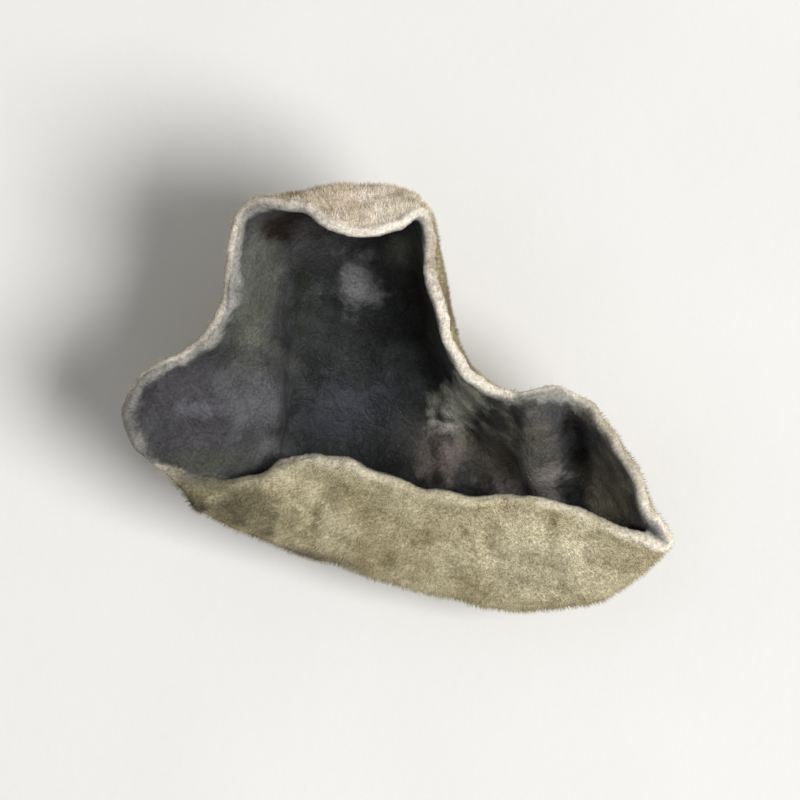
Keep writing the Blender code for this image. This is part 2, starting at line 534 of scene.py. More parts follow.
@dataclass(frozen=True)
class Puckers:
    """The pleats of the felted face that run down the stub and out from it, where the sheet shrank.

    They are high where they are gathered on the stub. Sizes are in millimetres.
    """

    count: int = 19
    height: float = 0.06
    gathered_height: float = 0.1
    gathered_to: float = 2.3
    clear_of_cut: float = 0.4
    start: float = 1.0
    full_from: float = 1.6
    fade_from: float = 2.55
    end: float = 4.6
    wander: float = 0.9
    wander_rate: float = 1.3
    wander_pleats: int = 3
    finer_share: float = 0.6
    finer_count: float = 1.618
    finer_twist: float = 2.0

    def press_into(self, piece: Piece) -> None:
        """Moves the outer face's points along their normals.

        Args:
            piece: The mesh object, with the attribute inner.
        """
        points = points_of(piece)
        away = points - np.array(CUT_CENTRE)
        beside = beside_cut(points)
        reach = np.linalg.norm(away, axis=1)
        turn = np.arctan2(away[:, 1], away[:, 0])
        turn += self.wander * np.sin(self.wander_rate * reach) / self.count * self.wander_pleats
        pleats = np.sin(self.count * turn)
        pleats += self.finer_share * np.sin(self.finer_count * self.count * turn + self.finer_twist * reach)
        fade = ease(beside, self.start, self.full_from) * (1.0 - ease(reach, self.fade_from, self.end))
        fade *= ease(away[:, 2], 0.0, self.clear_of_cut)
        gathered = 1.0 - ease(beside, self.full_from, self.gathered_to)
        height = self.height + (self.gathered_height - self.height) * gathered
        outer = 1.0 - ease(read_off(piece, INNER), 0.0, 0.5)
        move_points(piece, points + normals_of(piece) * (height * pleats * fade * outer)[:, None])


@dataclass(frozen=True)
class Fold:
    """A rounded lump, ridge or dent of the sheet, where the photograph shows one. Sizes in millimetres."""

    start: tuple[float, float]
    end: tuple[float, float]
    radius: float
    height: float

    def share(self, points: np.ndarray) -> np.ndarray:
        """How strongly points of the sheet follow this fold.

        Args:
            points: Their places, one row each.

        Returns:
            For each point, a share from 0 outside the fold to 1 along its middle.
        """
        start, end = np.array(self.start), np.array(self.end)
        run = end - start
        along = np.clip((points[:, :2] - start) @ run / max(run @ run, TINY), 0.0, 1.0)
        away = np.linalg.norm(points[:, :2] - start - along[:, None] * run, axis=1)
        return 1.0 - ease(away, 0.0, self.radius)


@dataclass
class Sheet:
    """The middle surface of the fungus: an oval floor whose edge is drawn up and out to the lobed margin.

    Sizes are in millimetres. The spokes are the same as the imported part's.
    """

    floor_centre: Vector = field(default_factory=lambda: Vector((-0.5, 0.05, 0.65)))
    floor_half_length: float = 2.3
    floor_half_width: float = 1.35
    floor_rise: float = 0.3
    grid_side: int = 8
    places: int = 4
    wall_rows: int = 4
    lip_rows: int = 4
    lip_overshoot: float = 0.5
    calm_margin: float = 0.5
    fray_width: float = 0.5
    fray_grain: float = 0.65
    fray_height: float = 0.14
    fray_shifts: tuple[Place, ...] = ((0.0, 0.0, 0.0), (7.0, 3.0, 1.0), (2.0, 9.0, 5.0))
    folds: tuple[Fold, ...] = (
        Fold(start=(-0.95, 4.3), end=(-0.95, 4.2), radius=0.85, height=0.42),
        Fold(start=(1.5, 1.25), end=(1.5, 1.25), radius=0.45, height=0.2),
        Fold(start=(1.3, 0.4), end=(1.5, -0.6), radius=0.5, height=0.22),
        Fold(start=(3.5, 1.2), end=(3.8, -1.6), radius=0.5, height=0.28),
        Fold(start=(3.7, -0.3), end=(3.8, -0.8), radius=0.5, height=0.2),
        Fold(start=(4.4, 0.5), end=(4.6, -0.4), radius=0.5, height=-0.45),
        Fold(start=(-5.6, 1.5), end=(-5.6, 1.5), radius=0.6, height=0.12),
        Fold(start=(-4.8, 1.1), end=(-4.2, 1.1), radius=0.4, height=0.1),
        Fold(start=(-3.2, 1.9), end=(-3.1, 0.5), radius=0.5, height=0.16),
        Fold(start=(-1.7, -0.8), end=(-1.9, -1.8), radius=0.3, height=0.12),
        Fold(start=(0.2, -1.5), end=(0.0, -2.4), radius=0.35, height=0.1),
        Fold(start=(2.3, -1.9), end=(2.6, -3.0), radius=0.45, height=0.12),
        Fold(start=(4.1, -1.8), end=(4.4, -2.9), radius=0.4, height=-0.12),
    )

    def heading(self, spoke: Spoke) -> float:
        """The direction of a spoke's wall point from the middle of the floor, in radians."""
        outward = Vector(spoke.wall) - self.floor_centre
        return math.atan2(outward.y, outward.x)

    def foot_angle(self, index: int) -> float:
        """Where round the floor a spoke starts: halfway from its even share of the turn to its heading.

        Args:
            index: Which spoke.

        Returns:
            The direction from the middle of the floor, in radians.
        """
        even = self.heading(SPOKES[0]) + TURN * index / len(SPOKES)
        off = (self.heading(SPOKES[index]) - even + math.pi) % TURN - math.pi
        return even + off / 2

    def floor_edge(self, index: int) -> Vector:
        """Where a spoke leaves the oval floor.

        Args:
            index: Which spoke.

        Returns:
            The place.
        """
        angle = self.foot_angle(index)
        out = Vector((math.cos(angle) * self.floor_half_length, math.sin(angle) * self.floor_half_width, 0.0))
        out.z = self.floor_rise
        return self.floor_centre + out

    def floor_place(self, u: float, v: float) -> Vector:
        """Where a point of the square grid lies on the rounded floor.

        Args:
            u: Its place along the grid's X, from -1 to 1.
            v: Its place along the grid's Y.

        Returns:
            The place.
        """
        reach = max(abs(u), abs(v))
        if reach == 0:
            return self.floor_centre.copy()
        position = round(turn_share(u, v) * len(SPOKES), self.places)
        whole = math.floor(position)
        edge = self.floor_edge(whole % len(SPOKES))
        edge = edge.lerp(self.floor_edge((whole + 1) % len(SPOKES)), position - whole)
        place = self.floor_centre.lerp(edge, reach)
        place.z = self.floor_centre.z + self.floor_rise * reach * reach
        return place

    def spoke_rows(self, index: int) -> list[Vector]:
        """The points up one spoke.

        Args:
            index: Which spoke.

        Returns:
            The points, from the first past the floor's edge to the margin.
        """
        foot = self.floor_edge(index)
        spoke = SPOKES[index]
        wall = Vector(spoke.wall)
        margin = Vector(spoke.margin)
        beyond = margin + (margin - wall) * self.lip_overshoot
        if spoke.belly is None:
            lower = walk(self.floor_centre, foot, wall, margin, self.wall_rows)
        else:
            belly = Vector(spoke.belly)
            half = self.wall_rows // 2
            lower = walk(self.floor_centre, foot, belly, wall, half) + walk(foot, belly, wall, margin, half)
            foot = belly
        return lower + walk(foot, wall, margin, beyond, self.lip_rows)

    def lay_floor(self, name: str) -> tuple[Piece, list[int]]:
        """Lays the floor of the cup as a grid.

        Args:
            name: What to call the new object.

        Returns:
            The grid, and the indices of the points round its edge, in the order of the spokes.
        """
        bpy.ops.object.select_all(action="DESELECT")
        cells = self.grid_side
        bpy.ops.mesh.primitive_grid_add(x_subdivisions=cells, y_subdivisions=cells, size=2.0)
        piece = bpy.context.object
        piece.name = name
        square = points_of(piece)
        half_cell = 1.0 / cells
        turns = {
            index: round(turn_share(u, v), self.places)
            for index, (u, v, _) in enumerate(square)
            if max(abs(u), abs(v)) > 1.0 - half_cell
        }
        move_points(piece, np.array([self.floor_place(u, v) for u, v, _ in square]))
        return piece, sorted(turns, key=turns.get)

    def mark_distance(self, piece: Piece) -> None:
        """Writes on each point of the cage how far along its spoke the margin is, in millimetres.

        Args:
            piece: The cage, whose last points are those of the rows, in their order.
        """
        points = points_of(piece)
        count = self.wall_rows + self.lip_rows
        rows = points[-len(SPOKES) * count:].reshape(count, len(SPOKES), 3)
        steps = np.linalg.norm(np.diff(rows, axis=0), axis=2)
        along = np.zeros((count, len(SPOKES)))
        along[:-1] = np.cumsum(steps[::-1], axis=0)[::-1]
        left = np.full(len(points), along.max())
        left[-along.size:] = along.ravel()
        write_on(piece, TO_MARGIN, left)

    def crease(self, piece: Piece) -> None:
        """Raises and sinks the folds that catch the light, or lose it, in the photograph.

        Args:
            piece: The sheet, with the attribute to_margin.
        """
        points = points_of(piece)
        inwards = -normals_of(piece)
        inside = ease(read_off(piece, TO_MARGIN), 0.0, self.calm_margin)
        heights = sum(fold.height * fold.share(points) for fold in self.folds)
        move_points(piece, points + inwards * (heights * inside)[:, None])

    def fray(self, piece: Piece) -> None:
        """Makes the margin run unevenly, as a dried one does.

        Args:
            piece: The sheet, with the attribute to_margin.
        """
        points = points_of(piece)
        near = self.fray_height * (1.0 - ease(read_off(piece, TO_MARGIN), 0.0, self.fray_width))
        for axis, shift in enumerate(self.fray_shifts):
            moves = [noise.noise(Vector(point) / self.fray_grain + Vector(shift)) for point in points]
            points[:, axis] += np.array(moves) * near
        move_points(piece, points)

    def build(self) -> Piece:
        """Models the sheet from a grid.

        Returns:
            An open surface that faces down and outwards, in millimetres, with the attribute to_margin.
        """
        piece, ring = self.lay_floor("sheet")
        spokes = [self.spoke_rows(index) for index in range(len(SPOKES))]
        draw_rows(piece, ring, [list(row) for row in zip(*spokes)])
        self.mark_distance(piece)
        pass_through_cage(piece)
        apply_modifier(piece, "SUBSURF", "smooth sheet", levels=3, render_levels=3)
        self.crease(piece)
        self.fray(piece)
        return piece


@dataclass
class Stub:
    """The stub that held the mushroom to its wood, drawn down from the floor past the cut that trims it.

    Sizes are in millimetres, and the turn in radians.
    """

    half_length: float = 1.95
    half_width: float = 1.55
    neck_share: float = 0.97
    spare: float = 0.8
    unevenness: float = 0.075
    lobes: int = 3
    lobes_turn: float = 0.7
    notches: int = 7
    notch_share: float = 0.6

    def cut_edge(self, angle: float) -> Vector:
        """Where the cut's slightly uneven outline runs.

        Args:
            angle: The direction from the middle of the cut, in radians.

        Returns:
            The place.
        """
        waves = math.sin(self.lobes * angle + self.lobes_turn)
        waves += self.notch_share * math.sin(self.notches * angle)
        edge = Vector((math.cos(angle) * self.half_length, math.sin(angle) * self.half_width, 0.0))
        return CUT_CENTRE + edge * (1.0 + self.unevenness * waves)

    def build(self, sheet: Sheet) -> Piece:
        """Models the stub from a copy of the floor.

        Args:
            sheet: The sheet that it hangs from.

        Returns:
            A closed solid in millimetres that reaches below the cut by the spare length.
        """
        piece, ring = sheet.lay_floor("stub")
        middle = (sheet.floor_centre + CUT_CENTRE) / 2
        necks, cuts, ends = [], [], []
        for index in range(len(SPOKES)):
            cut = self.cut_edge(sheet.foot_angle(index))
            straight = (sheet.floor_edge(index) + cut) / 2
            neck = middle.lerp(straight, self.neck_share)
            neck.z = straight.z
            necks.append(neck)
            cuts.append(cut)
            ends.append(cut - Vector((0.0, 0.0, self.spare)))
        draw_rows(piece, ring, [necks, cuts, ends])
        with editing(piece, "EDGE"):
            select_open_edge(piece)
            bpy.ops.mesh.edge_face_add()
            bpy.ops.mesh.select_all(action="SELECT")
            bpy.ops.mesh.normals_make_consistent(inside=False)
        return piece


class Survey:
    """The sheet's middle surface, kept so that a point of the skin can be placed on it later."""

    def __init__(self, sheet: Piece, half_walls: np.ndarray) -> None:
        """Keeps the sheet's points, faces and distances to the margin.

        Args:
            sheet: The open middle surface, facing outwards.
            half_walls: Half the thickness of the wall at each of its points, in millimetres.
        """
        self.half_walls = half_walls
        points = [Vector(point) for point in points_of(sheet)]
        self.tree = BVHTree.FromPolygons(points, [tuple(face.vertices) for face in sheet.data.polygons])
        self.nearest = KDTree(len(points))
        for index, point in enumerate(points):
            self.nearest.insert(point, index)
        self.nearest.balance()
        self.to_margin = read_off(sheet, TO_MARGIN)

    def read(self, points: np.ndarray) -> tuple[np.ndarray, np.ndarray]:
        """Places points of the skin on the sheet.

        Args:
            points: Their places, one row each.

        Returns:
            For each point, its side, from -1 on the outer face to 1 on the inner, and its way to the margin.
        """
        side = np.empty(len(points))
        to_margin = np.empty(len(points))
        for index, point in enumerate(points):
            here = Vector(point)
            foot, normal, _, _ = self.tree.find_nearest(here)
            close = [found for _, found, _ in self.nearest.find_n(here, 3)]
            side[index] = -(here - foot).dot(normal) / self.half_walls[close].mean()
            to_margin[index] = self.to_margin[close].mean()
        return side, to_margin


@dataclass(frozen=True)
class FeltNap:
    """The short hairs that make the outer face velvety, as one mesh of fine spikes. Sizes in millimetres."""

    name: str = "felt_nap"
    seed: int = 5
    per_square: float = 350.0
    length: float = 0.13
    radius: float = 0.008
    rooted: float = 0.1
    sweep: float = 0.75
    swirl: float = 1.8
    swirl_grain: float = 0.4
    unruly: float = 0.4
    shortest: float = 0.55
    longest: float = 1.25
    sides: int = 3
    cell_fill: float = 0.8

    def model_hair(self) -> Piece:
        """Models one hair: an open spike that stands on its root.

        Returns:
            The hair, in millimetres.
        """
        bpy.ops.object.select_all(action="DESELECT")
        middle = self.length * (0.5 - self.rooted)
        bpy.ops.mesh.primitive_cone_add(
            vertices=self.sides,
            radius1=self.radius,
            depth=self.length,
            end_fill_type="NOTHING",
            location=(0.0, 0.0, middle),
        )
        bpy.ops.object.transform_apply(location=True)
        return bpy.context.object

    def lay_direction(self, wiring: Wiring, normal: Socket) -> Socket:
        """The way each hair leans: out of the skin, swept away from the stub, swirled and a little unruly.

        Args:
            wiring: The tree that scatters the hairs.
            normal: The way the skin faces at each hair.

        Returns:
            The direction.
        """
        vector = "ShaderNodeVectorMath"
        place = wiring.add("GeometryNodeInputPosition").outputs[0]
        from_stub = wiring.join(vector, "SUBTRACT", place, tuple(CUT_CENTRE))
        outwards = wiring.add(vector, {"operation": "NORMALIZE"})
        wiring.feed(outwards.inputs[0], from_stub)
        lean = wiring.join(vector, "SCALE", outwards.outputs[0], self.sweep)
        swirls = wiring.add("ShaderNodeTexNoise", Vector=place, Scale=1.0 / self.swirl_grain, Detail=1.0)
        swirl = wiring.join(vector, "SUBTRACT", swirls.outputs["Color"], (0.5, 0.5, 0.5))
        lean = wiring.join(vector, "ADD", lean, wiring.join(vector, "SCALE", swirl, self.swirl))
        stray = wiring.add("FunctionNodeRandomValue", {"data_type": "FLOAT_VECTOR"}, Seed=self.seed + 1)
        wiring.feed(stray.inputs[0], (-self.unruly,) * 3)
        wiring.feed(stray.inputs[1], (self.unruly,) * 3)
        lean = wiring.join(vector, "ADD", lean, stray.outputs[0])
        return wiring.join(vector, "ADD", lean, normal)

    def chance(self, wiring: Wiring, low: float, high: float, turn: int) -> Socket:
        """A random number for each hair.

        Args:
            wiring: The tree that scatters the hairs.
            low: The lowest number.
            high: The highest number.
            turn: Which draw it is, as two draws of one turn are alike.

        Returns:
            The number.
        """
        made = wiring.add("FunctionNodeRandomValue", {"data_type": "FLOAT"}, Seed=self.seed + turn)
        wiring.feed(made.inputs[2], low)
        wiring.feed(made.inputs[3], high)
        return made.outputs[1]

    def scatter(self, hair: Piece) -> bpy.types.NodeTree:
        """Wires up the tree that turns a skin into the hairs that stand on it.

        Args:
            hair: The hair that is repeated.

        Returns:
            The tree.
        """
        tree = bpy.data.node_groups.new(self.name, "GeometryNodeTree")
        for way in ("INPUT", "OUTPUT"):
            tree.interface.new_socket("Geometry", in_out=way, socket_type="NodeSocketGeometry")
        wiring = Wiring(tree)
        felted = wiring.add("GeometryNodeInputNamedAttribute", {"data_type": "FLOAT"}, Name=HAIRY)
        roots = wiring.add(
            "GeometryNodeDistributePointsOnFaces",
            Mesh=wiring.add("NodeGroupInput").outputs[0],
            Density=wiring.join("ShaderNodeMath", "MULTIPLY", felted.outputs[0], self.per_square),
            Seed=self.seed,
        )
        toned = wiring.add(
            "GeometryNodeStoreNamedAttribute",
            {"data_type": "FLOAT"},
            Name=TONE,
            Geometry=roots.outputs["Points"],
            Value=self.chance(wiring, 0.0, 1.0, turn=2),
        )
        lean = self.lay_direction(wiring, roots.outputs["Normal"])
        aimed = wiring.add("FunctionNodeAlignRotationToVector", {"axis": "Z"}, Vector=lean)
        planted = wiring.add(
            "GeometryNodeInstanceOnPoints",
            Points=toned.outputs["Geometry"],
            Instance=wiring.add("GeometryNodeObjectInfo", Object=hair).outputs["Geometry"],
            Rotation=aimed.outputs[0],
            Scale=self.chance(wiring, self.shortest, self.longest, turn=3),
        )
        real = wiring.add("GeometryNodeRealizeInstances", Geometry=planted.outputs[0])
        wiring.add("NodeGroupOutput", Geometry=real.outputs[0])
        return tree

    def lay_out(self, piece: Piece) -> None:
        """Gives each hair a cell of its own on the UV map laid out for baking its colours.

        Args:
            piece: The nap, in which the faces of a hair follow one another.
        """
        faces = np.arange(len(piece.data.polygons))
        hair, turn = np.divmod(faces, self.sides)
        columns = math.ceil(math.sqrt(len(faces) // self.sides))
        corners = np.tile(((0.0, 0.0), (1.0, 0.0), (0.5, 1.0)), (len(faces), 1, 1))
        corners[:, :, 0] = (corners[:, :, 0] + turn[:, None]) / self.sides
        corners = corners * self.cell_fill + np.stack((hair % columns, hair // columns), axis=1)[:, None]
        piece.data.uv_layers.new(name=BAKE_MAP).data.foreach_set("uv", np.ravel(corners / columns))

    def build(self, skin: Piece) -> Piece:
        """Plants the hairs.

        Args:
            skin: The finished skin, still in millimetres, with the attribute hairy.

        Returns:
            The hairs as one mesh, in millimetres.
        """
        hair = self.model_hair()
        pick_only(skin)
        bpy.ops.object.duplicate()
        piece = bpy.context.object
        piece.name = self.name
        apply_modifier(piece, "NODES", self.name, node_group=self.scatter(hair))
        bpy.data.objects.remove(hair, do_unlink=True)
        self.lay_out(piece)
        return piece


@dataclass
class FruitBody:
    """The whole mushroom: the sheet with its wall, the stub, the relief of both faces and the marks that its
    colours read.

    Sizes are in millimetres.
    """

    sheet: Sheet = field(default_factory=Sheet)
    stub: Stub = field(default_factory=Stub)
    wall: float = 0.44
    margin_share: float = 0.68
    thickens_over: float = 1.3
    voxel: float = 0.075
    smoothing: int = 6
    flow_rounds: int = 50
    flow_beside: Bounds = (2.6, 3.9)
    flow_heights: Bounds = (0.8, 1.3)
    cut_rings: int = 24
    flat_within: float = 0.0075
    pit_grain: float = 4.0
    pit_depth: float = 0.12
    pits_fade: Bounds = (1.1, 1.5)
    map_bend: float = 66.0
    map_gap: float = 0.002
    puckers: Puckers = Puckers()
    nap: FeltNap = FeltNap()
    waver: Relief = Relief("waver", Pattern.LUMPS, grain=1.5, height=0.24, side=Side.BOTH)
    reliefs: tuple[Relief, ...] = (
        Relief("outer lumps", Pattern.LUMPS, grain=0.8, height=0.12, side=Side.OUTER),
        Relief("outer puckers", Pattern.PUCKERS, grain=0.32, height=0.05, side=Side.OUTER),
        Relief("outer grain", Pattern.LUMPS, grain=0.14, height=0.05, side=Side.OUTER, depth=3),
        Relief("inner lumps", Pattern.LUMPS, grain=0.9, height=0.08, side=Side.INNER),
        Relief("inner wrinkles", Pattern.PUCKERS, grain=0.3, height=0.015, side=Side.INNER),
    )

    # Where the looks of a face start and are full, from -1 on the outer face to 1 on the inner one
    inner_from: float = 0.1
    inner_full: float = 0.7
    outer_from: float = 0.3
    outer_full: float = -0.4

    # How near the margin and the cut the hairs and the relief of the outer face thin out
    hairs_from_margin: Bounds = (0.02, 0.2)
    hairs_from_cut: Bounds = (0.05, 0.2)
    relief_from_cut: Bounds = (0.0, 0.3)

    def fullness(self, piece: Piece) -> np.ndarray:
        """How far the wall has come, at each point of the sheet, from its margin's thickness to its own."""
        return ease(read_off(piece, TO_MARGIN), 0.0, self.thickens_over)

    def half_walls(self, piece: Piece) -> np.ndarray:
        """Half the wall's thickness at each point of the sheet, which tapers towards the margin."""
        return self.wall / 2 * (self.margin_share + (1.0 - self.margin_share) * self.fullness(piece))

    def give_wall(self, piece: Piece) -> None:
        """Gives the sheet its thickness, which tapers towards the margin.

        Args:
            piece: The open sheet, which becomes a closed one.
        """
        weigh(piece, "thick", self.fullness(piece))
        apply_modifier(
            piece,
            "SOLIDIFY",
            "wall",
            thickness=self.wall,
            offset=0.0,
            use_rim=True,
            vertex_group="thick",
            thickness_vertex_group=self.margin_share,
        )

    def flow(self, piece: Piece) -> None:
        """Smooths the skin round the stub, so that the cup flows down into it.

        Args:
            piece: The skin, before its stub is cut off.
        """
        points = points_of(piece)
        near = 1.0 - ease(beside_cut(points), *self.flow_beside)
        low = 1.0 - ease(points[:, 2], *self.flow_heights)
        weigh(piece, "flow", near * low)
        apply_modifier(piece, "SMOOTH", "flow", factor=0.5, iterations=self.flow_rounds, vertex_group="flow")

    def fuse(self, piece: Piece, stub: Piece) -> None:
        """Joins the stub to the sheet in one even skin and cuts it off flat.

        Args:
            piece: The sheet with its wall.
            stub: The closed stub, which becomes part of the piece.
        """
        pick_only(piece)
        stub.select_set(True)
        bpy.ops.object.join()
        apply_modifier(piece, "REMESH", "skin", mode="VOXEL", voxel_size=self.voxel, use_smooth_shade=True)
        apply_modifier(piece, "SMOOTH", "even skin", factor=0.5, iterations=self.smoothing)
        self.flow(piece)
        self.cut_off(piece)

    def cut_off(self, piece: Piece) -> None:
        """Cuts the stub off flat with a crisp edge, and closes the cut with rings of faces to its middle.

        Args:
            piece: The skin, whose stub reaches below the cut.
        """
        piece.data.shade_smooth()
        with editing(piece, "EDGE"):
            bpy.ops.mesh.select_all(action="SELECT")
            bpy.ops.mesh.bisect(plane_co=CUT_CENTRE, plane_no=(0.0, 0.0, -1.0), clear_outer=True)
            select_open_edge(piece)
            bpy.ops.mesh.mark_sharp()
            for ring in range(self.cut_rings, 1, -1):
                bpy.ops.mesh.extrude_edges_move()
                share = (ring - 1) / ring
                bpy.ops.transform.resize(value=(share, share, 1.0), center_override=CUT_CENTRE)
            bpy.ops.mesh.edge_face_add()

    def on_cut(self, points: np.ndarray) -> np.ndarray:
        """Which points lie on the flat cut."""
        return np.abs(points[:, 2]) < self.flat_within

    def tear(self, piece: Piece) -> None:
        """Sinks small pits into the middle of the cut, where the flesh tore out of the wood.

        Args:
            piece: The skin.
        """
        points = points_of(piece)
        on_cut = self.on_cut(points)
        pits = [max(0.0, noise.noise(Vector(point) * self.pit_grain)) for point in points[on_cut]]
        middle = 1.0 - ease(beside_cut(points[on_cut]), *self.pits_fade)
        points[on_cut, 2] += self.pit_depth * np.array(pits) * middle
        move_points(piece, points)

    def mark_faces(self, piece: Piece, survey: Survey) -> None:
        """Writes on the skin which face of the sheet each point is on, and how near the margin and the cut.

        Args:
            piece: The skin.
            survey: The middle surface that it was made from.
        """
        points = points_of(piece)
        side, to_margin = survey.read(points)
        for marked, value in ((side < self.inner_full, 1.0), (side > self.outer_full, -1.0)):
            stray = stray_points(piece, marked)
            side[stray] = value
            log.info("put %d points right in tight folds", stray.sum())
        inner = ease(side, self.inner_from, self.inner_full)
        felted = 1.0 - ease(side, self.outer_full, self.outer_from)
        felted *= ease(to_margin, *self.hairs_from_margin)
        felted *= ease(points[:, 2], *self.hairs_from_cut)
        write_on(piece, INNER, inner)
        write_on(piece, TO_MARGIN, to_margin)
        write_on(piece, HAIRY, felted)
        write_on(piece, CUT, self.on_cut(points).astype(float))
        weigh(piece, Side.INNER.value, inner)
        weigh(piece, Side.OUTER.value, ease(points[:, 2], *self.relief_from_cut) * (1.0 - inner))

    def press_reliefs(self, piece: Piece) -> None:
        """Presses every relief into its face, and writes on the skin how far each point stood out or sank.

        Args:
            piece: The skin, with a vertex group for each face.
        """
        before = points_of(piece)
        normals = normals_of(piece)
        self.puckers.press_into(piece)
        for relief in self.reliefs:
            relief.press_into(piece)
        write_on(piece, RAISED, ((points_of(piece) - before) * normals).sum(axis=1))

    def lay_bake_map(self, piece: Piece) -> None:
        """Lays out the UV map for baking the skin's colours, with the sheet's two faces kept apart.

        The front wall leans over the floor, and in a map of the whole skin those two would overlap.

        Args:
            piece: The skin.
        """
        mesh = piece.data
        mesh.uv_layers.new(name=BAKE_MAP)
        corners = np.empty(len(mesh.loops), int)
        mesh.loops.foreach_get("vertex_index", corners)
        starts = np.empty(len(mesh.polygons), int)
        mesh.polygons.foreach_get("loop_start", starts)
        inner = np.minimum.reduceat(read_off(piece, INNER)[corners], starts) > 0.5
        for side in (inner, ~inner):
            mesh.polygons.foreach_set("select", side)
            with editing(piece, "FACE"):
                bpy.ops.uv.smart_project(angle_limit=math.radians(self.map_bend), island_margin=self.map_gap)
        with editing(piece, "FACE"):
            bpy.ops.mesh.select_all(action="SELECT")
            bpy.ops.uv.select_all(action="SELECT")
            bpy.ops.uv.pack_islands(margin=self.map_gap)

    def bring_to_size(self, piece: Piece) -> None:
        """Moves the middle of the cut to the origin and brings the millimetres down to metres.

        Args:
            piece: The skin or the hairs.
        """
        pick_only(piece)
        bpy.ops.transform.translate(value=-CUT_CENTRE)
        piece.scale = (MM, MM, MM)
        piece.location *= MM
        bpy.ops.object.transform_apply(location=True, rotation=True, scale=True)

    def build(self) -> tuple[Piece, Piece]:
        """Models the mushroom.

        Returns:
            The skin, a closed mesh that rests on its cut, and the hairs on it. Both are in metres.
        """
        piece = self.sheet.build()
        self.waver.press_into(piece)
        survey = Survey(piece, self.half_walls(piece))
        self.give_wall(piece)
        self.fuse(piece, self.stub.build(self.sheet))
        piece.name = "fruit_body_skin"
        self.mark_faces(piece, survey)
        self.press_reliefs(piece)
        self.tear(piece)
        nap = self.nap.build(piece)
        self.lay_bake_map(piece)
        self.bring_to_size(piece)
        self.bring_to_size(nap)
        return piece, nap


@dataclass(frozen=True)
class Blotches:
    """An even noise over the object. Its blotches' size is in millimetres.

    The spread says which range of the noise is spread over which other range: low, high, to low and to high.
    """

    grain: float
    spread: Spread = (0.3, 0.7, 0.0, 1.0)
    detail: float = 3.0
    roughness: float = 0.55
    warp: float = 0.0


class Mixed(Enum):
    """What a Mix node mixes, with the places of its two inputs and of its output."""

    NUMBERS = ("FLOAT", 2, 3, 0)
    DIRECTIONS = ("VECTOR", 4, 5, 1)
    COLOURS = ("RGBA", 6, 7, 2)


